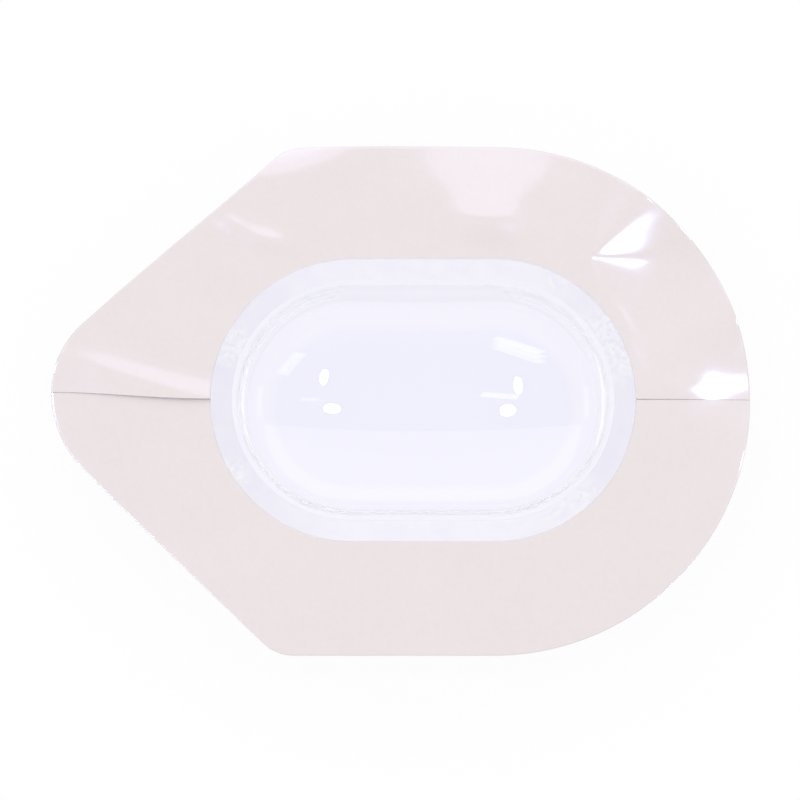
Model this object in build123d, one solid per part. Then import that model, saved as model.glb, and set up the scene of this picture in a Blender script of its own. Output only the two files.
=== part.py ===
from build123d import *
import os
from math import cos, hypot, radians, tan

# Surgical eye shield, in millimetres.
# A clear formed dome keeps the lid clear of anything that could press on it. Its flange is held by an
# adhesive film frame, and two halves of release paper cover the adhesive until the shield is used.
# The shield lies as it comes out of its pouch, on the crown of the dome with the paper upwards.
# +X points to the round temple end and -X to the narrow nose end, +Z is the side that goes on the skin.
# The origin is under the middle of the sheet, at the height of the lowest point of the crown.

# Outline of the sheet, which film, adhesive and paper share
sheet_length = 105.0
sheet_width = 77.1
nose_radius = 14.3
corner_radius = 6.5
straight_edge = 30.0

# Formed dome
flange_radius = 21.3
spine_length = 21.2
flange_width = 4.2
shell_wall = 0.4
dome_depth = 14.5
wall_draft = 7.5
crown_length_radius = 80.0
crown_width_radius = 28.0
shoulder_radius = 4.0
foot_radius = 0.5

# Layers of the sheet
liner_thickness = 0.15
adhesive_thickness = 0.08
film_thickness = 0.12
tent_run = 1.0

# Gaps
slit_width = 0.2
liner_clearance = 0.15
film_clearance = 0.15

# Places that follow from the sizes above
end_radius = sheet_width / 2
end_x = sheet_length / 2 - end_radius
nose_x = nose_radius - sheet_length / 2
corner_x = end_x - straight_edge
corner_y = end_radius - corner_radius
dome_x = end_x - spine_length / 2
skin_z = dome_depth
mouth_radius = flange_radius - flange_width
side_wall = shell_wall / cos(radians(wall_draft))
barrel_turn = 120


def sheet(bottom_z, thickness):
    """Plate of the sheet's outline, which is a string drawn tight round four round pins."""
    pins = [
        Pos(end_x, 0) * Circle(end_radius),
        Pos(nose_x, 0) * Circle(nose_radius),
        Pos(corner_x, corner_y) * Circle(corner_radius),
        Pos(corner_x, -corner_y) * Circle(corner_radius),
    ]
    outline = make_hull([pin.edge() for pin in pins])
    return extrude(Pos(0, 0, bottom_z) * outline, thickness)


def slot(radius, z):
    """Stadium face at height z. Every stadium in the shield keeps this distance from the same spine."""
    return Pos(dome_x, 0, z) * SlotCenterToCenter(spine_length, 2 * radius)


def slot_plate(radius, bottom_z, thickness):
    """Stadium plate that starts at bottom_z."""
    return extrude(slot(radius, bottom_z), thickness)


def barrel(floor_z, length_radius, width_radius):
    """Barrel lying along X, whose lowest point is at floor_z: a disc swung about an axis along Y."""
    swing = Axis((dome_x, 0, floor_z + length_radius), (0, 1, 0))
    disc = Plane((dome_x, 0, floor_z + width_radius), x_dir=(0, 1, 0), z_dir=(1, 0, 0)) * Circle(width_radius)
    return revolve(disc.rotate(swing, -barrel_turn / 2), swing, barrel_turn)


def bowl(top_radius, floor_z, length_radius, width_radius, bottom_radius):
    """Solid of the hollow or of the outside of the dome: drafted walls, rounded into a crowned floor."""
    depth = skin_z - floor_z
    narrow = slot(top_radius - depth * tan(radians(wall_draft)), floor_z)
    body = loft([slot(top_radius, skin_z), narrow], ruled=True) & barrel(floor_z, length_radius, width_radius)
    floor_edges = body.edges().filter_by(lambda edge: edge.bounding_box().max.Z < skin_z)
    return fillet(floor_edges, bottom_radius)


def from_spine(point):
    """Distance in plan from a point to the spine."""
    return hypot(max(abs(point.X - dome_x) - spine_length / 2, 0), point.Y)


def foot_edges(body, z):
    """Edges at height z where the flange turns into the wall."""
    middle_radius = flange_radius - flange_width / 2
    level = body.edges().filter_by_position(Axis.Z, z, z)
    return level.filter_by(lambda edge: from_spine(edge @ 0.5) < middle_radius)


def dome_shell():
    """Clear formed dome: one even wall from the flange round the foot, down the side and over the crown."""
    outside = bowl(
        mouth_radius + side_wall,
        skin_z - dome_depth,
        crown_length_radius,
        crown_width_radius,
        shoulder_radius + shell_wall,
    )
    inside = bowl(
        mouth_radius,
        skin_z - dome_depth + shell_wall,
        crown_length_radius - shell_wall,
        crown_width_radius - shell_wall,
        shoulder_radius,
    )
    flange_bottom = skin_z - shell_wall
    shell = outside + slot_plate(flange_radius, flange_bottom, shell_wall)
    shell = fillet(foot_edges(shell, flange_bottom), foot_radius)
    shell = shell - inside
    return fillet(foot_edges(shell, skin_z), foot_radius + shell_wall)


def pressed_under_flange(top_z):
    """Space that the flange presses into a layer whose flat part has its top at top_z."""
    wide = slot(flange_radius + tent_run, top_z)
    deep = slot(flange_radius, top_z - shell_wall)
    return loft([wide, deep], ruled=True)


def layer(top_z, thickness):
    """Soft layer of even thickness that dips under the flange and is open round the dome."""
    window_radius = mouth_radius + side_wall + foot_radius + film_clearance
    window_bottom = top_z - shell_wall - thickness
    bottom_z = top_z - thickness
    body = sheet(bottom_z, thickness) + pressed_under_flange(bottom_z) - pressed_under_flange(top_z)
    return body - slot_plate(window_radius, window_bottom, top_z - window_bottom)


def release_liner(side):
    """Half of the release paper, on the +Y side for 1 and the -Y side for -1 of the slit."""
    paper = sheet(skin_z, liner_thickness)
    window = slot_plate(flange_radius + liner_clearance, skin_z, liner_thickness)
    middle_y = side * (sheet_width + slit_width) / 2
    half = Pos(0, middle_y, skin_z) * Box(
        sheet_length, sheet_width, liner_thickness, align=(Align.CENTER, Align.CENTER, Align.MIN)
    )
    return (paper - window) & half


nodes = {
    "dome_shell": dome_shell(),
    "skin_adhesive": layer(skin_z, adhesive_thickness),
    "backing_film": layer(skin_z - adhesive_thickness, film_thickness),
    "release_liner_upper": release_liner(1),
    "release_liner_lower": release_liner(-1),
}

os.makedirs("parts", exist_ok=True)
for name, shape in nodes.items():
    export_step(shape, f"parts/{name}.step")
    print(name, len(shape.solids()), round(shape.volume, 3), shape.bounding_box())
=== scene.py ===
# %% [markdown]
# This lesson dresses a surgical eye shield: a clear formed dome held by an adhesive film, with two halves of
# release paper over the adhesive. The imported CAD model is loaded first. It is the fixed frame: every piece
# made here takes the place of one of its solids, in the same axes and in metres. The box of each of its parts
# is printed now.

import bmesh
import bpy
import numpy as np
from mathutils import Matrix, Vector


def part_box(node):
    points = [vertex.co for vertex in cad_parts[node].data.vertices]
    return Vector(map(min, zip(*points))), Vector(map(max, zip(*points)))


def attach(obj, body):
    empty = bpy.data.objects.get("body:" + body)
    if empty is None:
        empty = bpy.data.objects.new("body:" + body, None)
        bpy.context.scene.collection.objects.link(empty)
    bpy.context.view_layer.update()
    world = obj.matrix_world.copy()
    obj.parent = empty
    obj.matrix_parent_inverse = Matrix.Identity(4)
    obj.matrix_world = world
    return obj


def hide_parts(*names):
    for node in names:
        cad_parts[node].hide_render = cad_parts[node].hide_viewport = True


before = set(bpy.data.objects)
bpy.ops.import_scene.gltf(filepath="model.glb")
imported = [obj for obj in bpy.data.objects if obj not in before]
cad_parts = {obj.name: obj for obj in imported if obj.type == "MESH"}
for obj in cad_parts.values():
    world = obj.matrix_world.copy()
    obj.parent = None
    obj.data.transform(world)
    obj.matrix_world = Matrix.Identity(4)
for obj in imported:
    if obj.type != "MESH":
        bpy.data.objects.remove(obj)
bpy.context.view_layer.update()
for name in sorted(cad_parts):
    low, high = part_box(name)
    print(name, "from", [round(v * 1000, 2) for v in low], "to", [round(v * 1000, 2) for v in high], "mm")

# %% [markdown]
# The real shield is cut and formed from sheets, so a few sizes say all of it: the outline that every layer
# shares, the dome's walls and roundings, and the thickness of each layer. They are the sizes of the CAD
# source, in metres.

# %% Sizes
MM = 0.001
SHEET_LENGTH, SHEET_WIDTH = 105.0 * MM, 77.1 * MM
NOSE_RADIUS, CORNER_RADIUS, STRAIGHT_EDGE = 14.3 * MM, 6.5 * MM, 30.0 * MM
FLANGE_RADIUS, SPINE_LENGTH, FLANGE_WIDTH = 21.3 * MM, 21.2 * MM, 4.2 * MM
WALL, DEPTH, DRAFT = 0.4 * MM, 14.5 * MM, np.radians(7.5)
CROWN_ALONG, CROWN_ACROSS = 80.0 * MM, 28.0 * MM
SHOULDER, FOOT = 4.0 * MM, 0.5 * MM
PAPER, ADHESIVE, FILM = 0.15 * MM, 0.08 * MM, 0.12 * MM
TENT_RUN, SLIT = 1.0 * MM, 0.2 * MM
PAPER_CLEARANCE, FILM_CLEARANCE = 0.15 * MM, 0.15 * MM

END_RADIUS = SHEET_WIDTH / 2
END_X = SHEET_LENGTH / 2 - END_RADIUS
NOSE_X = NOSE_RADIUS - SHEET_LENGTH / 2
CORNER_X, CORNER_Y = END_X - STRAIGHT_EDGE, END_RADIUS - CORNER_RADIUS
DOME_X = END_X - SPINE_LENGTH / 2
SKIN_Z = DEPTH
MOUTH_RADIUS = FLANGE_RADIUS - FLANGE_WIDTH
print("the dome stands", round(DOME_X / MM, 2), "mm from the middle of the sheet")

# %% [markdown]
# Every stadium in the shield keeps one distance from the same short line, its spine. So a point on the dome
# or on a layer can be given by three numbers: where its foot is on the spine, in which direction it lies from
# there, and how far. This is much like polar coordinates, with the pole drawn out into a line, and it makes
# the dome's wall, foot and flange come out even all round.


# %% Walk round the spine
def spine_feet(turn_steps, run_steps):
    """Feet on the spine and outward directions for one walk round it, anticlockwise from +X.

    At the ends the foot stays and the direction turns half a turn. Along the straight sides the direction
    stays square to the spine and the foot runs from one end to the other."""
    half = SPINE_LENGTH / 2
    quarter = np.linspace(0, np.pi / 2, turn_steps + 1)
    run = np.linspace(half, -half, run_steps + 1)[1:-1]
    angles = np.concatenate([quarter, np.full(run_steps - 1, np.pi / 2), quarter + np.pi / 2])
    feet = np.concatenate([np.full(turn_steps + 1, half), run, np.full(turn_steps + 1, -half)])
    angles = np.concatenate([angles, 2 * np.pi - angles[-2:0:-1]])
    feet = np.concatenate([feet, feet[-2:0:-1]])
    foot = np.stack([DOME_X + feet, np.zeros_like(feet)], axis=1)
    return foot, np.stack([np.cos(angles), np.sin(angles)], axis=1)


feet, outward = spine_feet(turn_steps=60, run_steps=40)
print(len(feet), "columns round the dome")

# %% [markdown]
# The dome is one plastic sheet, sucked hot into a mould. Its wall leans out a little so that it lets go of the
# mould, its floor is crowned like the side of a barrel, and a round shoulder joins the two. In Blender it could
# be a subdivided box, but the photo shows clean reflections in it, and those need the true curves. The crowned
# floor comes first.


# %% The crowned floor
def barrel_height(x, y, lowest, along, across):
    """Height of the crowned floor: a disc of radius across swung about an axis along above its lowest point.

    The height is the axis less the length of the swing arm at (x, y), by two right triangles."""
    arm = along - across + np.sqrt(across**2 - y**2)
    return lowest + along - np.sqrt(arm**2 - (x - DOME_X) ** 2)


floor_rise = barrel_height(DOME_X, 10 * MM, 0, CROWN_ALONG, CROWN_ACROSS)
print("10 mm beside its lowest point the floor is", round(floor_rise / MM, 2), "mm higher")

# %% [markdown]
# Now each column of the skin is worked out exactly, from the spine outwards: floor, shoulder arc, wall, foot
# arc, flange. The skins inside and outside the dome differ by the wall's thickness, so one function makes both.

# %% The dome's skin
FLOOR_ROWS, SHOULDER_ROWS, WALL_ROWS, FOOT_ROWS, FLANGE_ROWS, RIM_ROWS = 43, 25, 13, 13, 8, 7
FLOOR_RANGE, HALVINGS = (4 * MM, 17 * MM), 48
RIM_ROUND = 0.1 * MM


def skin(out, foot, direction):
    """Distances from the spine and heights of one skin, from the spine to the flange, for each column.

    out is 0 for the skin inside the dome and WALL for the one outside. The shoulder's centre is one shoulder
    radius from the floor, measured square to it, and just as far from the wall. Halving a range of places for
    its foot on the floor finds it."""
    along, across, shoulder = CROWN_ALONG - WALL + out, CROWN_ACROSS - WALL + out, SHOULDER + out
    lean = np.array([-np.cos(DRAFT), np.sin(DRAFT)])
    mouth = np.array([MOUTH_RADIUS + out / np.cos(DRAFT), SKIN_Z])

    def height(r):
        x, y = foot[:, :1] + r * direction[:, :1], r * direction[:, 1:]
        return barrel_height(x, y, WALL - out, along, across)

    def arc_centre(r):
        step = 0.01 * MM
        slope = (height(r + step) - height(r - step)) / (2 * step)
        size = np.sqrt(1 + slope**2)
        return r - shoulder * slope / size, height(r) + shoulder / size, slope

    near, far = (np.full((len(foot), 1), reach) for reach in FLOOR_RANGE)
    for _ in range(HALVINGS):
        middle = (near + far) / 2
        r, z, slope = arc_centre(middle)
        inside = (r - mouth[0]) * lean[0] + (z - mouth[1]) * lean[1] > shoulder
        near, far = np.where(inside, middle, near), np.where(inside, far, middle)
    centre_r, centre_z, slope = arc_centre(near)
    floor_r = near * np.linspace(0, 1, FLOOR_ROWS + 1)
    turn = np.linspace(0, 1, SHOULDER_ROWS + 1)[1:]
    angle = np.arctan2(-1, slope) * (1 - turn) - DRAFT * turn
    arc_r, arc_z = centre_r + shoulder * np.cos(angle), centre_z + shoulder * np.sin(angle)
    round_foot = FOOT + WALL - out
    foot_z = SKIN_Z - WALL - FOOT
    foot_r = MOUTH_RADIUS - (SKIN_Z - foot_z) * np.tan(DRAFT) + (WALL + FOOT) / np.cos(DRAFT)
    wall_end = np.array([foot_r + round_foot * lean[0], foot_z + round_foot * lean[1]])
    rise = np.linspace(0, 1, WALL_ROWS + 1)[1:]
    wall_r = arc_r[:, -1:] * (1 - rise) + wall_end[0] * rise
    wall_z = arc_z[:, -1:] * (1 - rise) + wall_end[1] * rise
    bend = np.linspace(np.pi - DRAFT, np.pi / 2, FOOT_ROWS + 1)[1:]
    bend_r, bend_z = foot_r + round_foot * np.cos(bend), foot_z + round_foot * np.sin(bend)
    flat_r = np.linspace(foot_r, FLANGE_RADIUS - RIM_ROUND, FLANGE_ROWS + 1)[1:]
    flat_z = np.full(FLANGE_ROWS, SKIN_Z - out)
    even_r = np.tile(np.concatenate([bend_r, flat_r]), (len(foot), 1))
    even_z = np.tile(np.concatenate([bend_z, flat_z]), (len(foot), 1))
    return np.hstack([floor_r, arc_r, wall_r, even_r]), np.hstack([height(floor_r), arc_z, wall_z, even_z])


inner_r, inner_z = skin(0, feet, outward)
outer_r, outer_z = skin(WALL, feet, outward)
print("floor to flange:", round((inner_z.max() - inner_z.min()) / MM, 2), "mm of clear depth")

# %% [markdown]
# Every piece here starts as a grid of points and becomes a mesh in one go. Where the dome's columns meet on the
# spine their points coincide, so doubles are merged. The volume is a check: it comes out above zero only when
# the faces point outwards.

# %% From a grid of points to a piece
MERGE_GAP = 0.0002 * MM


def place(name, points, faces):
    """Object from an array of points and a list of faces, at the origin and smooth."""
    mesh = bpy.data.meshes.new(name)
    mesh.from_pydata(points.reshape(-1, 3), [], faces)
    work = bmesh.new()
    work.from_mesh(mesh)
    bmesh.ops.remove_doubles(work, verts=work.verts, dist=MERGE_GAP)
    bmesh.ops.recalc_face_normals(work, faces=work.faces)
    work.to_mesh(mesh)
    work.free()
    mesh.shade_smooth()
    piece = bpy.data.objects.new(name, mesh)
    bpy.context.scene.collection.objects.link(piece)
    return piece


def grid_faces(columns, rows, closed):
    """Quads between neighbours of a grid whose points are counted column by column."""
    here = np.arange(columns if closed else columns - 1)[:, None]
    there = (here + 1) % columns
    row = np.arange(rows - 1)[None, :]
    corners = [here * rows + row, there * rows + row, there * rows + row + 1, here * rows + row + 1]
    return np.stack(corners, axis=2).reshape(-1, 4).tolist()


def volume(piece):
    """Volume in cubic millimetres, positive when the faces point outwards."""
    work = bmesh.new()
    work.from_mesh(piece.data)
    size = work.calc_volume(signed=True)
    work.free()
    return size / MM**3


print("a closed grid of 3 by 2 points has", len(grid_faces(3, 2, True)), "faces")

# %% [markdown]
# The two skins are joined over the rim of the flange, which the cutting die leaves with a slight round. That
# closes the shell, like the real sheet of plastic.

# %% The dome as a piece
rim_turn = np.linspace(np.pi / 2, -np.pi / 2, RIM_ROWS + 2)[1:-1]
rim_r = np.tile(FLANGE_RADIUS - RIM_ROUND + RIM_ROUND * np.cos(rim_turn), (len(feet), 1))
rim_middle = np.where(rim_turn >= 0, SKIN_Z - RIM_ROUND, SKIN_Z - WALL + RIM_ROUND)
rim_z = np.tile(rim_middle + RIM_ROUND * np.sin(rim_turn), (len(feet), 1))
loop_r = np.hstack([inner_r, rim_r, outer_r[:, ::-1]])
loop_z = np.hstack([inner_z, rim_z, outer_z[:, ::-1]])
dome_xy = feet[:, None, :] + loop_r[:, :, None] * outward[:, None, :]
dome_points = np.concatenate([dome_xy, loop_z[:, :, None]], axis=2)
dome = place("formed_dome", dome_points, grid_faces(len(feet), loop_r.shape[1], True))
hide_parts("dome_shell")
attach(dome, "shield")
print("dome:", len(dome.data.polygons), "faces,", round(volume(dome), 1), "cubic mm of plastic")

# %% [markdown]
# Film, adhesive and paper are cut with one die. Its blade runs round four round pins: a large one at the temple
# end, a smaller one at the nose end, and two small ones at the corners. The outline is walked from the slit at
# the temple end over the top to the slit at the nose end, and the lower side is its mirror image.


# %% The outline of the sheet
PIN_POINTS = 300


def arc(x, y, radius, start, end):
    """Points on a round pin at (x, y) between two directions."""
    turn = np.linspace(start, end, PIN_POINTS)
    return np.stack([x + radius * np.cos(turn), y + radius * np.sin(turn)], axis=1)


pins_apart = np.hypot(CORNER_X - NOSE_X, CORNER_Y)
lean_of_edge = np.arctan2(CORNER_Y, CORNER_X - NOSE_X) + np.arccos((NOSE_RADIUS - CORNER_RADIUS) / pins_apart)
edge_walk = np.concatenate([
    arc(END_X, 0, END_RADIUS, 0, np.pi / 2),
    arc(CORNER_X, CORNER_Y, CORNER_RADIUS, np.pi / 2, lean_of_edge),
    arc(NOSE_X, 0, NOSE_RADIUS, lean_of_edge, np.pi),
])
edge_run = np.concatenate([[0], np.cumsum(np.hypot(*np.diff(edge_walk, axis=0).T))])
print("half of the outline is", round(edge_run[-1] / MM, 1), "mm long; the nose edge leans",
      round(float(np.degrees(lean_of_edge)), 1), "degrees")


def half_outline(run):
    """Point of the upper outline after a given length of the walk."""
    return np.stack([np.interp(run, edge_run, coordinate) for coordinate in edge_walk.T], axis=1)


# %% [markdown]
# Each layer is a ring between the stadium round the dome and the outline. Spokes run from one to the other:
# both are walked together, and a short table says which length of the one belongs to which length of the
# other, so that the spokes stay nearly square to both.

# %% Spokes from the dome to the outline
QUARTER = FLANGE_RADIUS * np.pi / 2
STRAIGHT_END = QUARTER + SPINE_LENGTH
TEMPLE_END = END_RADIUS * np.pi / 2
INNER_MARKS = [0, QUARTER, STRAIGHT_END, STRAIGHT_END + 9 * MM, STRAIGHT_END + QUARTER]
OUTER_MARKS = [0, TEMPLE_END, TEMPLE_END + 24 * MM, TEMPLE_END + 33 * MM, edge_run[-1]]
HALF_SPOKES = 300
outer_run = np.linspace(0, edge_run[-1], HALF_SPOKES)
inner_run = np.interp(outer_run, OUTER_MARKS, INNER_MARKS)
turned = np.where(inner_run < QUARTER, inner_run, np.maximum(inner_run - SPINE_LENGTH, QUARTER)) / FLANGE_RADIUS
slid = np.clip(inner_run - QUARTER, 0, SPINE_LENGTH)
half_feet = np.stack([END_X - slid, np.zeros(HALF_SPOKES)], axis=1)
half_directions = np.stack([np.cos(turned), np.sin(turned)], axis=1)
half_ends = half_outline(outer_run)
mirror = np.array([1, -1])
ring_feet = np.concatenate([half_feet, half_feet[-2:0:-1]])
ring_directions = np.concatenate([half_directions, half_directions[-2:0:-1] * mirror])
ring_ends = np.concatenate([half_ends, half_ends[-2:0:-1] * mirror])
print(len(ring_feet), "spokes round the sheet")


EDGE_STRIP = 0.008


def spokes(foot, direction, end, near_radii, steps):
    """Plan points of each spoke: at the given distances from the spine, then evenly on to the outline.

    The last stretch is only a narrow strip, which keeps the cut edge crisp."""
    near = foot[:, None, :] + np.array(near_radii)[None, :, None] * direction[:, None, :]
    share = np.append(np.linspace(0, 1, steps)[1:], 1.0)[:, None]
    share[-2] = 1 - EDGE_STRIP
    far = near[:, -1:, :] * (1 - share) + end[:, None, :] * share
    return np.concatenate([near, far], axis=1)


# %% [markdown]
# A thin sheet never lies dead flat. In the photo the lower half nearly does, but the upper half ripples, and
# its glossy paper shows each ripple as a patch of glare. A patch is there because that bit of paper leans just
# enough to mirror a lamp, so the lean that each patch needs gave the heights. There are shallow dents along the
# top edge and at the slit, and two narrow creases across the nose edge.
#
# Noise would give ripples too, but not in these places. Rows of numbers that each place one long dent are easy
# to read and to change.


# %% Dents
def ease(value):
    """Smooth step: 0 below 0, 1 above 1, and three value squares less two value cubes between."""
    value = np.clip(value, 0, 1)
    return value * value * (3 - 2 * value)


def hump(distance, width):
    """Bell curve of height 1: e to the minus square of distance over width."""
    return np.exp(-((distance / width) ** 2))


UPPER_DENTS = [
    (13.73, 43.04, -1.86, 12.83, 9.37, -11.3),
    (13.06, 21.30, 1.44, 6.91, 4.73, -84.1),
    (18.85, 26.02, -0.14, 2.89, 12.38, -34.6),
    (-17.04, 40.57, -1.19, 10.36, 3.41, 15.1),
    (-12.00, 45.63, 0.10, 4.37, 17.01, 13.4),
    (-26.30, 26.75, 0.18, 2.60, 1.40, -30.0),
    (-19.60, 23.70, 0.36, 5.20, 1.50, -20.0),
    (43.00, 15.50, 0.30, 6.00, 5.00, -30.0),
    (34.00, 11.50, 0.12, 6.00, 3.00, -60.0),
]
SLIT_DENTS = [
    (57.26, 0.89, -1.35, 11.94, 9.35, -48.7),
    (52.39, 13.17, 0.55, 11.54, 4.56, 40.7),
    (55.62, -5.36, 0.36, 9.80, 5.72, 27.0),
]


def dents(rows, x, y):
    """Sum of long bell-shaped dents. A row is x, y, height, length, width in mm and the turn of its length."""
    total = 0 * x
    for middle_x, middle_y, height, length, width, turn in rows:
        cos, sin = np.cos(np.radians(turn)), np.sin(np.radians(turn))
        along = (x - middle_x) * cos + (y - middle_y) * sin
        across = (y - middle_y) * cos - (x - middle_x) * sin
        total = total + height * hump(along, length) * hump(across, width)
    return total


print(len(UPPER_DENTS), "dents in the upper half and", len(SLIT_DENTS), "by the slit")

# %% [markdown]
# By the temple the sheet buckles: a fan of creases starts at one point, as where a stiff sheet is pinched. Film,
# adhesive and paper are stuck together, so they share the dents and the buckle. The stiff flange keeps them flat
# round the dome.

# %% Ripples that all layers share
BUCKLE_TIP = (28.40, 21.61)
BUCKLE_TURNS = (-75, -50, -25, 0, 25, 50, 75)
BUCKLE_SLOPES = (0.010, -0.040, -0.101, -0.117, -0.038, 0.056, -0.028)
CREASE_TURN, TIP_ROUND, BUCKLE_REACH = 20, 0.3, 17.9
FLAT_RADIUS = 21.5


def buckle(x, y):
    """Part of a cone: the distance from its tip times a slope that changes with the turn about the tip.

    Its tip is rounded. It ends by e to the minus fourth power of distance over reach."""
    away_x, away_y = x - BUCKLE_TIP[0], y - BUCKLE_TIP[1]
    run = np.hypot(away_x, away_y)
    turn = np.degrees(np.arctan2(away_y, away_x))
    fan = zip(BUCKLE_TURNS, BUCKLE_SLOPES)
    slope = sum(value * hump(turn - middle, CREASE_TURN) for middle, value in fan)
    return slope * (np.hypot(run, TIP_ROUND) - TIP_ROUND) * np.exp(-((run / BUCKLE_REACH) ** 4))


def from_spine(x, y):
    """Distance in plan from the spine."""
    return np.hypot(np.maximum(np.abs(x - DOME_X) - SPINE_LENGTH / 2, 0), y)


def ripple(x, y):
    """Height that all layers share: the dents and the buckle, each times a smooth step.

    The steps hold the height to nothing at the flange, and the dents fade out over the lower half: the upper
    ones are full 6 mm above the slit and nothing below it, those by the slit are nothing 20 mm below it."""
    off_flange = from_spine(x, y) / MM - FLAT_RADIUS
    x, y = x / MM, y / MM
    upper = ease(y / 6) * dents(UPPER_DENTS, x, y) + ease((y + 20) / 12) * dents(SLIT_DENTS, x, y)
    return (ease((off_flange - 1) / 7) * upper + ease(off_flange / 3) * buckle(x, y)) * MM


samples = np.array([[50.0, 1.0], [37.0, 1.0], [44.0, 23.0], [-50.0, 2.0], [-22.0, 35.0]]) * MM
print("ripple at five places, mm:", np.round(ripple(*samples.T) / MM, 2))

# %% [markdown]
# Along the slit at the nose end the paper alone has come off the adhesive, and the slit opens there into a dark
# wedge that widens towards the dome. At the other end of the slit, by the temple, the upper paper alone has one
# small bump. Where the sheet bends most it also moves a little sideways.

# %% Lift and drift
LOOSE_DENTS = [(42.00, 1.50, 0.20, 4.00, 2.00, 0.0)]
LIFT_SLOPE, LIFT_ROUND, FALL_SLOPE = 0.165, 0.6, 1.45
TIP_SWING, CORNER_X_DRAW, CORNER_Y_DRAW = 1.05 * MM, 1.3 * MM, 0.25 * MM


def lift(x, y):
    """Height that the upper paper alone has over the adhesive: a slope up to the slit, with rounded starts.

    Between the dome and the nose end it starts 2 to 8 mm off the slit. A steeper slope that starts closer to
    the slit is taken from it, so that it falls again towards the nose end. The bump by the temple is added."""
    x, y = x / MM, y / MM

    def rounded(run):
        return LIFT_ROUND * np.logaddexp(0, run / LIFT_ROUND)

    steep = LIFT_SLOPE * (0.75 + 0.25 * ease((x + 51) / 9))
    start = 3.2 - 0.21 * (x + 28)
    eased = np.clip(3.2 - 0.25 * (x + 44), -3, 5)
    nose_end = steep * (rounded(start - y) - FALL_SLOPE * rounded(eased - y))
    return np.where(y > 0, np.where(x < 0, nose_end, dents(LOOSE_DENTS, x, y)), 0) * MM


def drift(x, y):
    """Sideways move in plan where the sheet bends: the tip swings up and the nose corner is drawn in."""
    x, y = x / MM, y / MM
    swing = ease((-30 - x) / 22) * ease((y + 15) / 15)
    drawn = hump(np.hypot(x + 20, y - 36), 15) * ease(y / 8)
    return np.stack([CORNER_X_DRAW * drawn, TIP_SWING * swing - CORNER_Y_DRAW * drawn], axis=-1)


print("lift at the slit beside the dome:", round(float(lift(-26 * MM, 0.1 * MM)) / MM, 2), "mm")

# %% [markdown]
# The film and the coat of adhesive on it run under the flange. Next to it they step down by the thickness of
# the flange over a short slope, as film does when it is pressed round an edge. A hair of air is kept between
# neighbouring layers, because light can't be followed through two faces in one place.


# %% Film and adhesive
def layer(name, plan, top, thickness, closed):
    """Plate over the plan points: the top at the given heights, the underside a thickness lower.

    Both go through the ripples. The spokes of a closed ring meet again, and an open one gets end faces."""
    xy = plan + drift(plan[..., 0], plan[..., 1])
    upper = np.concatenate([xy, top[..., None]], axis=-1)
    lower = upper - np.array([0, 0, thickness])
    loop = np.concatenate([upper, lower[:, ::-1]], axis=1)
    columns, rows = loop.shape[:2]
    faces = grid_faces(columns, rows, closed)
    here = np.arange(columns if closed else columns - 1) * rows
    beside = (here + rows) % (columns * rows)
    faces += np.stack([here + rows - 1, beside + rows - 1, beside, here], axis=1).tolist()
    if not closed:
        row = np.arange(rows // 2 - 1)
        for start, flip in ((0, 1), ((columns - 1) * rows, -1)):
            end_faces = np.stack([row, row + 1, rows - 2 - row, rows - 1 - row], axis=1) + start
            faces += end_faces[:, ::flip].tolist()
    piece = place(name, loop, faces)
    piece.data.set_sharp_from_angle(angle=np.radians(40))
    return piece


def mark(piece, name, values):
    """Point attribute of a layer, with the same value on its underside as on its top."""
    marks = piece.data.attributes.new(name, "FLOAT", "POINT")
    marks.data.foreach_set("value", np.concatenate([values, values[:, ::-1]], axis=1).ravel())


HAIR = 0.006 * MM
window = MOUTH_RADIUS + WALL / np.cos(DRAFT) + FOOT + FILM_CLEARANCE
near_radii = np.concatenate([
    np.linspace(window, FLANGE_RADIUS, 5), FLANGE_RADIUS + TENT_RUN * np.linspace(0, 1, 7)[1:],
])
ring_plan = spokes(ring_feet, ring_directions, ring_ends, near_radii, steps=26)
ring_radius = from_spine(ring_plan[..., 0], ring_plan[..., 1])
step_down = WALL * (1 - ease((ring_radius - FLANGE_RADIUS) / TENT_RUN))
ring_ripple = ripple(ring_plan[..., 0], ring_plan[..., 1])
adhesive_top = SKIN_Z - HAIR - step_down + ring_ripple
adhesive = layer("adhesive_coat", ring_plan, adhesive_top, ADHESIVE - HAIR, True)
mark(adhesive, "off_slit", np.abs(ring_plan[..., 1]))
film = layer("clear_film", ring_plan, adhesive_top - ADHESIVE, FILM - HAIR, True)
for piece, node, slot in ((adhesive, "skin_adhesive", "adhesive"), (film, "backing_film", "film")):
    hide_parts(node)
    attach(piece, "shield")
    print(piece.name, len(piece.data.polygons), "faces,", round(volume(piece), 1), "cubic mm")

# %% [markdown]
# The release paper is stiffer than the film and comes in two halves, so that a finger can get hold of it at
# the slit. Each half is a half ring with its own cut edges. Both ride the ripples, and the upper half adds its
# lift along the slit. The slit is narrower towards the tips of the sheet, and the blade bends the cut edge down
# a hair. A point attribute marks that edge, so that the finish can treat raw paper as raw and paint a little
# shade along it.


# %% Release paper
EDGE_DIP = 0.03 * MM
TIP_SHARE, TIP_START, TIP_RUN = 0.45, 46 * MM, 14 * MM


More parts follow.
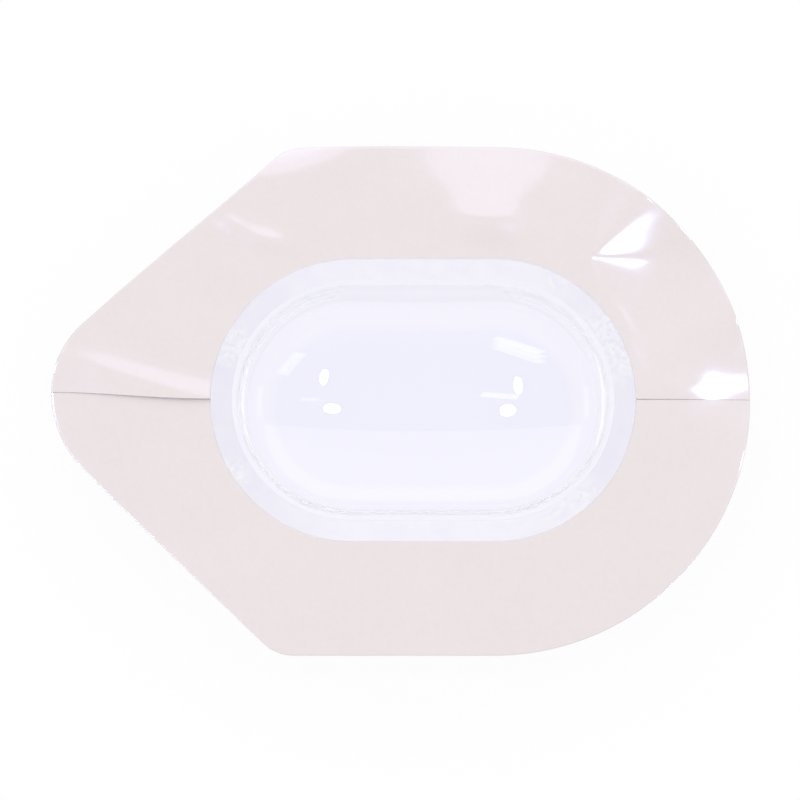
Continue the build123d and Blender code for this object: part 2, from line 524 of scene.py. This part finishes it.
def paper_half(name, side):
    """Half ring on the +Y side for 1 and the -Y side for -1, cut back from the slit by half its width.

    That width shrinks to the tip's share of it over the tip's run, along X."""
    turn = np.array([1, side])
    near = [FLANGE_RADIUS + PAPER_CLEARANCE, FLANGE_RADIUS + 1 * MM]
    plan = spokes(half_feet * turn, half_directions * turn, half_ends * turn, near, steps=44)
    full = ease((TIP_START - np.abs(plan[..., 0])) / TIP_RUN)
    cut_back = SLIT / 2 * (TIP_SHARE + (1 - TIP_SHARE) * full)
    plan[..., 1] = side * np.maximum(side * plan[..., 1], cut_back)
    x, y = plan[..., 0], plan[..., 1]
    top = SKIN_Z + PAPER + ripple(x, y) + lift(x, y)
    top[:, -1] -= EDGE_DIP
    piece = layer(name, plan, top, PAPER, False)
    edge = np.zeros(plan.shape[:2])
    edge[:, -1] = 1.0
    mark(piece, "cut_edge", edge)
    return piece


for name, side, node, body in (
    ("paper_upper", 1, "release_liner_upper", "upper_paper"),
    ("paper_lower", -1, "release_liner_lower", "lower_paper"),
):
    paper = paper_half(name, side)
    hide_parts(node)
    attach(paper, body)
    print(name, len(paper.data.polygons), "faces,", round(volume(paper), 1), "cubic mm")

# %% [markdown]
# Now the finishes. Each is a tree of nodes, and a few helpers make the nodes that turn up again and again.
# Wherever a helper takes a value, it takes a plain one or a node's output. The textures on the pieces read
# Object coordinates, so they stay put.


# %% Helpers for nodes
def feed(tree, socket, value):
    """Plug a node's output into a socket, or set the socket to a plain value."""
    if hasattr(value, "is_output"):
        tree.links.new(value, socket)
    else:
        socket.default_value = value


def place_of(tree, kind="Object"):
    """Texture coordinates of the shaded point."""
    return tree.nodes.new("ShaderNodeTexCoord").outputs[kind]


def noise(tree, scale, detail, roughness=0.5):
    """Noise texture on Object coordinates."""
    texture = tree.nodes.new("ShaderNodeTexNoise")
    for label, value in (
        ("Vector", place_of(tree)), ("Scale", scale), ("Detail", detail), ("Roughness", roughness),
    ):
        feed(tree, texture.inputs[label], value)
    return texture.outputs["Fac"]


def remap(tree, value, from_low, from_high, to_low, to_high):
    """Straight-line change of one range into another, held at its ends."""
    node = tree.nodes.new("ShaderNodeMapRange")
    for label, amount in (
        ("Value", value),
        ("From Min", from_low),
        ("From Max", from_high),
        ("To Min", to_low),
        ("To Max", to_high),
    ):
        feed(tree, node.inputs[label], amount)
    return node.outputs["Result"]


def vector_math(tree, operation, first, second=(0, 0, 0), output="Vector"):
    """One Vector Math node on two vectors."""
    node = tree.nodes.new("ShaderNodeVectorMath")
    node.operation = operation
    feed(tree, node.inputs[0], first)
    feed(tree, node.inputs[1], second)
    return node.outputs[output]


print("made: feed, place_of, noise, remap and vector_math")

# %% [markdown]
# Four effects turn up more than once, so each is a node group: fine scuffs, which change how rough a surface is,
# soft patches, a round spot, and the distance from the dome's spine, which makes lines and bands that follow the
# stadium.


# %% Node groups
def group(name, inputs, outputs):
    """Empty shader group with named inputs and outputs; returns it with its two end nodes."""
    tree = bpy.data.node_groups.new(name, "ShaderNodeTree")
    for label, kind, value in inputs:
        socket = tree.interface.new_socket(name=label, in_out="INPUT", socket_type=kind)
        socket.default_value = value
    for label, kind in outputs:
        tree.interface.new_socket(name=label, in_out="OUTPUT", socket_type=kind)
    return tree, tree.nodes.new("NodeGroupInput"), tree.nodes.new("NodeGroupOutput")


FLOAT, VECTOR = "NodeSocketFloat", "NodeSocketVector"
scuffs, given, result = group(
    "fine_scuffs",
    [("Smoothest", FLOAT, 0.01), ("Roughest", FLOAT, 0.05), ("Scale", FLOAT, 300.0)],
    [("Roughness", FLOAT)],
)
mottle = noise(scuffs, given.outputs["Scale"], 6.0, 0.7)
rough = remap(scuffs, mottle, 0.45, 0.7, given.outputs["Smoothest"], given.outputs["Roughest"])
scuffs.links.new(rough, result.inputs["Roughness"])

patches, given, result = group(
    "soft_patches", [("Scale", FLOAT, 150.0), ("Start", FLOAT, 0.5), ("Full", FLOAT, 0.6)], [("Mask", FLOAT)]
)
cloud = noise(patches, given.outputs["Scale"], 4.0, 0.6)
cover = remap(patches, cloud, given.outputs["Start"], given.outputs["Full"], 0.0, 1.0)
patches.links.new(cover, result.inputs["Mask"])

round_spot, given, result = group(
    "round_spot", [("Middle", VECTOR, (0, 0, 0)), ("Reach", FLOAT, 0.005)], [("Mask", FLOAT)]
)
gap = vector_math(round_spot, "DISTANCE", place_of(round_spot), given.outputs["Middle"], "Value")
near = remap(round_spot, gap, 0.0, given.outputs["Reach"], 1.0, 0.0)
round_spot.links.new(near, result.inputs["Mask"])

spine_gap, given, result = group("distance_from_spine", [], [("Distance", FLOAT)])
value = place_of(spine_gap)
for operation, amount in (
    ("SUBTRACT", (DOME_X, 0, 0)),
    ("ABSOLUTE", (0, 0, 0)),
    ("SUBTRACT", (SPINE_LENGTH / 2, 0, 1)),
    ("MAXIMUM", (0, 0, 0)),
):
    value = vector_math(spine_gap, operation, value, amount)
length = vector_math(spine_gap, "LENGTH", value, output="Value")
spine_gap.links.new(length, result.inputs["Distance"])
print("groups:", [tree.name for tree in bpy.data.node_groups])

# %% [markdown]
# All four finishes are one Principled shader each. The next helper sets its plain numbers on its own sockets,
# and the one after it places a node group. The others lay colours and masks over one another.


# %% Helpers for colours and masks
def finish(name, **plain):
    """Material with one Principled shader whose plain values are given by socket name, _ for a space."""
    material = bpy.data.materials.new(name)
    material.use_nodes = True
    shader = material.node_tree.nodes["Principled BSDF"]
    for label, value in plain.items():
        shader.inputs[label.replace("_", " ")].default_value = value
    return material, material.node_tree, shader


def use(tree, made, **values):
    """One placed copy of a node group with its inputs set."""
    node = tree.nodes.new("ShaderNodeGroup")
    node.node_tree = made
    for label, value in values.items():
        node.inputs[label].default_value = value
    return node


def blended(tree, mask, under, over, way="MIX"):
    """Colour over another where the mask is 1. The way MULTIPLY shows the lower one through the upper one."""
    node = tree.nodes.new("ShaderNodeMix")
    node.data_type, node.blend_type = "RGBA", way
    for index, value in ((0, mask), (6, under), (7, over)):
        feed(tree, node.inputs[index], (*value, 1) if isinstance(value, tuple) else value)
    return node.outputs[2]


def math(tree, operation, first, second):
    """One Math node on two values."""
    node = tree.nodes.new("ShaderNodeMath")
    node.operation = operation
    feed(tree, node.inputs[0], first)
    feed(tree, node.inputs[1], second)
    return node.outputs["Value"]


def product(tree, first, second):
    """One mask inside another."""
    return math(tree, "MULTIPLY", first, second)


def largest(tree, first, second):
    """Two masks laid over each other."""
    return math(tree, "MAXIMUM", first, second)


def band(tree, value, start, end, soft):
    """Mask that is 1 while the value runs from start to end and fades to 0 over soft on both sides."""
    begun = remap(tree, value, start - soft, start, 0.0, 1.0)
    return product(tree, begun, remap(tree, value, end, end + soft, 1.0, 0.0))


print("made: finish, use, blended, math, product, largest and band")

# %% [markdown]
# The last helpers read where a point lies or what it is marked with, and turn a height map into a normal.


# %% Helpers for places and normals
def along(tree, axis, kind="Object"):
    """One of the three texture coordinates."""
    split = tree.nodes.new("ShaderNodeSeparateXYZ")
    tree.links.new(place_of(tree, kind), split.inputs["Vector"])
    return split.outputs[axis]


def off_middle(tree):
    """Distance along X from the middle of the dome."""
    return math(tree, "ABSOLUTE", math(tree, "SUBTRACT", along(tree, "X"), DOME_X), 0.0)


def attribute(tree, name):
    """Point attribute of a piece."""
    node = tree.nodes.new("ShaderNodeAttribute")
    node.attribute_name = name
    return node.outputs["Fac"]


def bump(tree, height, distance):
    """Normal from a height map."""
    node = tree.nodes.new("ShaderNodeBump")
    node.inputs["Distance"].default_value, node.inputs["Strength"].default_value = distance, 1.0
    tree.links.new(height, node.inputs["Height"])
    return node.outputs["Normal"]


print("made: along, off_middle, attribute and bump")

# %% [markdown]
# The dome is clear plastic with a faint cold tint. Forming stretches the sheet over the shoulder, so the tint
# is paler there, and paler still in the flange, which isn't stretched but has the film behind it. Two fine
# darker lines are painted into the tint as painted shade, at the foot of the wall and half way down, where the
# bent wall darkens the view. The foot and the long straight walls are rougher than the rest, which dulls the
# mirror there, and the dullness runs out on a slant towards the two ends.
# A very shallow, wide wave bends the reflections a little, because formed plastic is never optically flat, and
# scuffs from handling vary its roughness.
#
# A low index of refraction keeps the wall from bending the view of the floor like a lens. The clear coat over
# it brings back the gloss that so low an index would lose. Past the second wall the shell lets light straight
# through, or its two close faces would swallow it.

# %% Clear plastic
plastic, tree, shader = finish(
    "clear_formed_plastic",
    Transmission_Weight=1.0,
    IOR=1.10,
    Coat_Weight=1.0,
    Coat_IOR=1.32,
    Coat_Roughness=0.015,
)
off_spine = use(tree, spine_gap).outputs["Distance"]
thinned = remap(tree, off_spine, 11.6 * MM, 12.8 * MM, 0.0, 1.0)
body = blended(tree, thinned, (0.897, 0.89, 0.995), (0.925, 0.915, 1.0))
body = blended(tree, remap(tree, off_spine, 17.6 * MM, 18.0 * MM, 0.0, 1.0), body, (0.945, 0.932, 1.0))
# Painted shade: two fine darker lines in the tint, at the foot of the wall and half way down.
painted_foot_shade = band(tree, off_spine, 16.95 * MM, 17.35 * MM, 0.2 * MM)
painted_wall_shade = band(tree, off_spine, 16.0 * MM, 16.3 * MM, 0.15 * MM)
shade_lined = blended(tree, largest(tree, painted_foot_shade, painted_wall_shade), body, (0.965, 0.965, 0.97), "MULTIPLY")
tree.links.new(shade_lined, shader.inputs["Base Color"])
foot = band(tree, off_spine, 16.85 * MM, 17.6 * MM, 0.3 * MM)
wall = band(tree, off_spine, 15.1 * MM, 17.3 * MM, 0.6 * MM)
slanted = math(tree, "ADD", off_middle(tree), math(tree, "MULTIPLY", off_spine, 4.0))
straight = remap(tree, slanted, 78 * MM, 92 * MM, 1.0, 0.0)
dull = largest(tree, foot, product(tree, wall, remap(tree, straight, 0.0, 1.0, 0.6, 1.0)))
tree.links.new(remap(tree, dull, 0.0, 1.0, 1.0, 0.12), shader.inputs["Coat Weight"])
path = tree.nodes.new("ShaderNodeLightPath")
tree.links.new(remap(tree, path.outputs["Ray Depth"], 2.4, 2.6, 1.0, 0.0), shader.inputs["Alpha"])
haze = use(tree, scuffs, Smoothest=0.004, Roughest=0.02, Scale=260.0).outputs["Roughness"]
rough = remap(tree, largest(tree, foot, product(tree, wall, straight)), 0.0, 1.0, 0.0, 0.3)
tree.links.new(largest(tree, haze, rough), shader.inputs["Roughness"])
wave = noise(tree, 60.0, 0.0)
tree.links.new(bump(tree, wave, 0.004 * MM), shader.inputs["Normal"])
dome.data.materials.append(plastic)
print(plastic.name, "on", dome.name)

# %% [markdown]
# The film is a clear soft sheet with a satin outside. The adhesive on it is clear too, and shows through the
# flange: where it hasn't wetted the plastic, small bubbles make pale patches. Towards the two ends of the dome
# it is painted greyer, as painted shade. In the hairline between flange and paper a darker line is painted, as
# the painted shadow of that gap. Along the slit in the paper a dark line is painted into the adhesive below it,
# as the painted shadow of the slit. That line follows the slit through the ripples, so its distance is a point
# attribute and not a coordinate.

# %% Film and adhesive finishes
film_finish, tree, shader = finish("satin_clear_film", Transmission_Weight=1.0, IOR=1.10)
shader.inputs["Base Color"].default_value = (1.0, 0.998, 1.0, 1)
haze = use(tree, scuffs, Smoothest=0.06, Roughest=0.14, Scale=900.0)
tree.links.new(haze.outputs["Roughness"], shader.inputs["Roughness"])
film.data.materials.append(film_finish)

adhesive_finish, tree, shader = finish("wetted_adhesive", Transmission_Weight=1.0, IOR=1.08)
DRY_SPOTS = [(31.5, 8.5, 7.5), (25.5, -17.0, 7.0), (-25.5, 8.5, 4.0), (-25.5, -11.5, 3.5), (22.0, 19.0, 5.0)]
dry = 0.0
for x, y, reach in DRY_SPOTS:
    spot = use(tree, round_spot, Middle=(x * MM, y * MM, SKIN_Z), Reach=reach * MM).outputs["Mask"]
    dry = largest(tree, dry, spot)
grains = use(tree, patches, Scale=1300.0, Start=0.40, Full=0.60)
bubbles = product(tree, remap(tree, dry, 0.0, 0.5, 0.0, 1.0), grains.outputs["Mask"])
off_dome = off_middle(tree)
# Painted shade: towards the two ends of the dome the adhesive is tinted greyer.
ends = remap(tree, off_dome, 14 * MM, 28 * MM, 0.0, 1.0)
wetted = blended(tree, ends, (1.0, 0.997, 1.0), (0.94, 0.933, 0.954))
streaks = use(tree, patches, Scale=330.0, Start=0.42, Full=0.62).outputs["Mask"]
wetted = blended(tree, streaks, wetted, (0.980, 0.980, 0.992), "MULTIPLY")
shaded = blended(tree, bubbles, wetted, (1.0, 1.0, 0.985))
off_spine = use(tree, spine_gap).outputs["Distance"]
# Painted shadow: a darker hairline just outside the flange, where the paper's edge stands over it.
painted_rim_shadow = band(tree, off_spine, FLANGE_RADIUS + 0.02 * MM, FLANGE_RADIUS + 0.16 * MM, 0.1 * MM)
shaded = blended(tree, painted_rim_shadow, shaded, (0.84, 0.81, 0.86), "MULTIPLY")
flange_tip = SPINE_LENGTH / 2 + FLANGE_RADIUS
outside = remap(tree, off_dome, flange_tip, flange_tip + 0.2 * MM, 0.0, 1.0)
# Painted shadow: a dark line in the adhesive along the slit, for the shade in the gap between the paper halves.
painted_slit_shadow = product(tree, remap(tree, attribute(tree, "off_slit"), 0.30 * MM, 0.42 * MM, 1.0, 0.0), outside)
tree.links.new(blended(tree, painted_slit_shadow, shaded, (0.50, 0.47, 0.49)), shader.inputs["Base Color"])
haze = use(tree, scuffs, Smoothest=0.08, Roughest=0.20, Scale=1100.0)
tree.links.new(haze.outputs["Roughness"], shader.inputs["Roughness"])
adhesive.data.materials.append(adhesive_finish)
print(film_finish.name, "and", adhesive_finish.name, "are ready")

# %% [markdown]
# Release paper is a smooth kraft paper, bleached to a pinkish beige, with a glassy coat of silicone so that
# the adhesive lets go. The coat mirrors the lamps where the paper ripples. Below it the calendered fibres give
# a wider, bluish shine, which is what turns the glare of the white sweep lavender. The fibres also show as a
# very fine, soft mottle, and press through as a bump far finer than a millimetre. The cut edge has hardly any
# coat and is a little darker, partly as raw paper and partly as painted shade along the outline.

# %% Coated paper
paper_finish, tree, shader = finish(
    "coated_release_paper",
    IOR=2.0,
    Specular_Tint=(0.36, 0.45, 0.90, 1.0),
    Coat_Weight=1.0,
    Coat_IOR=1.6,
    Coat_Roughness=0.09,
)
clouds = use(tree, patches, Scale=90.0, Start=0.3, Full=0.7).outputs["Mask"]
fibres = noise(tree, 1400.0, 3.0, 0.7)
base = blended(tree, clouds, (0.868, 0.786, 0.742), (0.883, 0.802, 0.758))
flecks = blended(tree, fibres, (0.965, 0.965, 0.96), (1.03, 1.03, 1.035))
mottled = blended(tree, 1.0, base, flecks, "MULTIPLY")
cut_edge = attribute(tree, "cut_edge")
# The outer cut edge is darker: partly raw paper, partly painted shade along the outline.
raw_edge_with_shade = blended(tree, cut_edge, mottled, (0.80, 0.79, 0.80), "MULTIPLY")
tree.links.new(raw_edge_with_shade, shader.inputs["Base Color"])
tree.links.new(remap(tree, cut_edge, 0.0, 1.0, 1.0, 0.1), shader.inputs["Coat Weight"])
gloss = use(tree, scuffs, Smoothest=0.13, Roughest=0.22, Scale=200.0)
tree.links.new(gloss.outputs["Roughness"], shader.inputs["Roughness"])
tree.links.new(bump(tree, fibres, 0.003 * MM), shader.inputs["Normal"])
for name in ("paper_upper", "paper_lower"):
    bpy.data.objects[name].data.materials.append(paper_finish)
print(paper_finish.name, "on both halves")

# %% [markdown]
# The stage is a white floor. To the camera, to mirrors and through clear plastic it is mostly plain white, and
# the rest of it takes light like real paper, so it keeps the object's soft shadow. The world is white to the
# camera and through plastic as well. To everything else it is a photographer's room: pale walls low down, which
# light the object evenly, and a dim ceiling, which the hollow of the dome and the flat paper mirror.


# %% Floor and world
def seen_directly(tree, kinds):
    """1 for the given kinds of ray and 0 for the rest."""
    path = tree.nodes.new("ShaderNodeLightPath")
    seen = 0.0
    for kind in kinds:
        seen = largest(tree, seen, path.outputs[kind])
    return seen


WHITE_SHARE = 0.93
FLOOR_HALF, FLOOR_GAP = 6.0, 0.01 * MM
floor_finish, tree, shader = finish("white_floor", Roughness=1.0)
shader.inputs["Base Color"].default_value = (0.97, 0.97, 0.97, 1)
shader.inputs["Specular IOR Level"].default_value = 0.0
glow = tree.nodes.new("ShaderNodeEmission")
blend = tree.nodes.new("ShaderNodeMixShader")
seen = seen_directly(tree, ["Is Camera Ray", "Is Glossy Ray", "Is Transmission Ray"])
tree.links.new(remap(tree, seen, 0.0, 1.0, 0.0, WHITE_SHARE), blend.inputs[0])
tree.links.new(shader.outputs[0], blend.inputs[1])
tree.links.new(glow.outputs[0], blend.inputs[2])
tree.links.new(blend.outputs[0], tree.nodes["Material Output"].inputs["Surface"])
floor_corners = [(x * FLOOR_HALF, y * FLOOR_HALF, -FLOOR_GAP) for x, y in ((-1, -1), (1, -1), (1, 1), (-1, 1))]
floor = place("floor", np.array(floor_corners), [(0, 1, 2, 3)])
floor.data.materials.append(floor_finish)

world = bpy.data.worlds.new("dim_room")
bpy.context.scene.world = world
world.use_nodes = True
tree = world.node_tree
white = seen_directly(tree, ["Is Camera Ray", "Is Transmission Ray"])
overhead = remap(tree, along(tree, "Z", "Generated"), 0.72, 0.84, 0.0, 1.0)
room = blended(tree, overhead, (1.0, 1.0, 1.04), (0.30, 0.30, 0.34))
shown = blended(tree, white, room, (1.0, 1.0, 1.0))
tree.links.new(shown, tree.nodes["Background"].inputs["Color"])
print("floor and room are ready")

# %% [markdown]
# The lamps are placed by where the dome mirrors them. The hollow floor of the dome works like a shaving
# mirror: a lamp on the right shows on the left. A lamp is given by how far it stands from straight above, in
# degrees along X and along Y, by the size of its window, and by its brightness, where 1 is plain white. Two
# soft boxes at the sides and a white sweep behind give most of the light. The sweep's edge is the level line
# across the dome. Four round lamps, two windows of three slanted strips each and two faint tubes are the small
# shapes in its upper half.


# %% Lamps
def lamp(
    name, lean_x, lean_y, width, length, brightness, height=1.0, color=(1, 1, 1), round_face=False, turn=0.0
):
    """Flat lamp that faces the shield, its width as near to X as that allows, then turned about its facing.

    Its power is four times its area times its brightness, which makes its face look that bright."""
    data = bpy.data.lights.new(name, "AREA")
    data.shape, data.size, data.size_y = "ELLIPSE" if round_face else "RECTANGLE", width, length
    area = width * length * (np.pi / 4 if round_face else 1)
    data.energy, data.color = 4 * area * brightness, color
    light = bpy.data.objects.new(name, data)
    bpy.context.scene.collection.objects.link(light)
    spot = Vector((height * np.tan(np.radians(lean_x)), height * np.tan(np.radians(lean_y)), height))
    light.location = spot
    toward = spot.normalized()
    side = Vector((0, 1, 0)).cross(toward).normalized()
    facing = Matrix((side, toward.cross(side), toward)).transposed()
    light.rotation_euler = (facing @ Matrix.Rotation(np.radians(turn), 3, "Z")).to_euler()
    return light


lamp("soft_box_left", -58, 5, 0.7, 0.7, 0.6)
lamp("soft_box_right", 58, 5, 0.7, 0.7, 0.6)
lamp("lamp_right_front", 20.7, -13.7, 0.032, 0.185, 20, round_face=True)
lamp("lamp_left_front", -19.0, -8.3, 0.033, 0.185, 20, round_face=True)
lamp("lamp_right_back", 18.8, 6.4, 0.062, 0.112, 24, round_face=True)
lamp("lamp_left_back", -16.8, 7.4, 0.058, 0.132, 24, round_face=True)
DAYLIGHT = (0.75, 0.92, 1.0)
for row in (-1, 0, 1):
    lamp(f"pane_{row + 2}", 28.4 - 0.8 * row, -22.6 + 0.6 * row, 0.020, 0.29, 1.5, color=DAYLIGHT, turn=-10)
    lean_x, lean_y, brightness = -21.0 + 0.43 * row, -31.3 + 3.15 * row, 1.9 - 0.2 * row
    lamp(f"blind_{row + 2}", lean_x, lean_y, 0.29, 0.050, brightness, color=DAYLIGHT, turn=-53)
lamp("tube_left", -15.2, -2.0, 0.14, 0.055, 2.2, color=DAYLIGHT, turn=-14)
lamp("tube_right", 23.2, 1.0, 0.07, 0.035, 1.3, color=DAYLIGHT)
lamp("white_sweep", 0, 44, 4.6, 2.5, 0.57, height=2.0, color=(0.97, 0.97, 1.0))

# %% [markdown]
# The photo was taken from almost straight above, a little from the front, with a long lens. The frame is 800 by
# 800 and the sheet fills 700 of them, which fixes the field of view. The camera looks at the middle of the
# sheet.

# %% Camera
TILT, DISTANCE, FRAME_WIDTH, SENSOR_WIDTH = np.radians(6.5), 900 * MM, 120.2 * MM, 36.0
camera_data = bpy.data.cameras.new("camera")
camera = bpy.data.objects.new("camera", camera_data)
bpy.context.scene.collection.objects.link(camera)
camera_data.sensor_width = SENSOR_WIDTH
camera_data.lens = SENSOR_WIDTH * DISTANCE / FRAME_WIDTH
camera_data.clip_start, camera_data.clip_end = 0.01, 50
aim = Vector((-0.12 * MM, -0.08 * MM, SKIN_Z))
back = Vector((0, -np.sin(TILT), np.cos(TILT)))
camera.location = aim + back * DISTANCE
camera.rotation_mode = "QUATERNION"
camera.rotation_quaternion = (-back).to_track_quat("-Z", "Y")
bpy.context.scene.camera = camera
bpy.context.scene.view_settings.view_transform = "Standard"
print("lens", round(camera_data.lens, 1), "mm")
